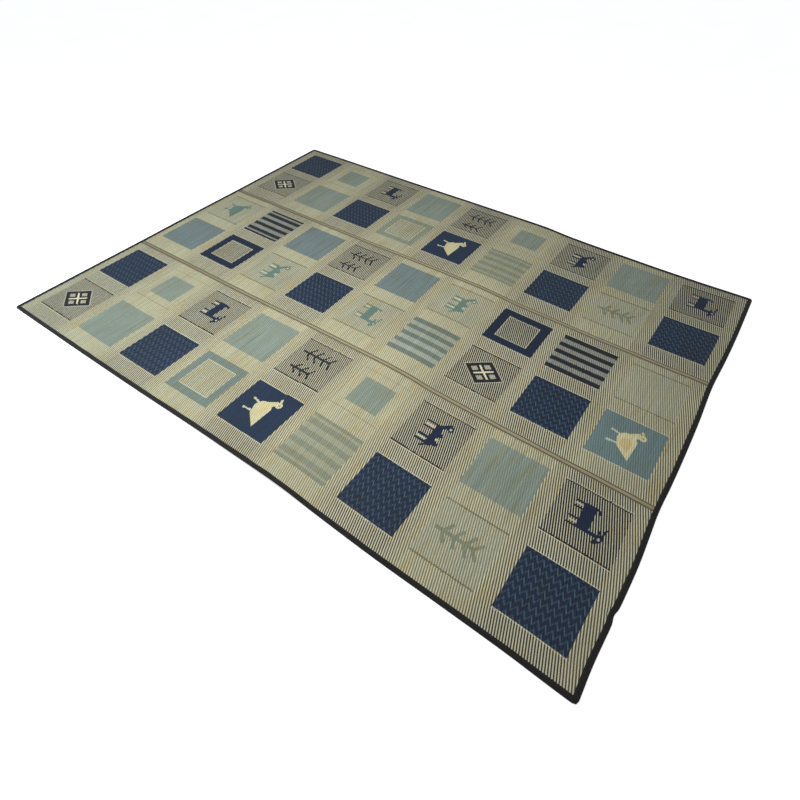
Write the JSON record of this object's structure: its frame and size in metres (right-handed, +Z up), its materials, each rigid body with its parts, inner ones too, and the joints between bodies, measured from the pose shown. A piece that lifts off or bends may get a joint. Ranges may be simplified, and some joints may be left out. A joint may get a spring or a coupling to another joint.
{
  "type": "woven rush tatami mat",
  "caption": "Thin rectangular woven rush floor mat of joined panels with a patchwork pattern, seam tapes and a dark folded cloth binding; lies flat on a floor to sit or walk on.",
  "frame": {"origin": "centre of the overall box, on the underside that lies on the floor", "axes": "+X along the long side, across the woven figures' feet towards their heads; +Y along the short side, away from the viewer; +Z up"},
  "size_m": [2.5, 1.917, 0.005],
  "materials": {
    "woven_rush": "woven dried rush, natural beige with dyed patches, slight straw sheen",
    "seam_tape": "plain woven tape, matt",
    "edge_binding": "dark cotton tape, matt"
  },
  "bodies": {
    "root": {"panel_near": "woven_rush", "panel_middle": "woven_rush", "panel_far": "woven_rush", "seam_tape_near": "seam_tape", "seam_tape_far": "seam_tape", "binding_near": "edge_binding", "binding_far": "edge_binding", "binding_left": "edge_binding", "binding_right": "edge_binding"}
  },
  "joints": []
}
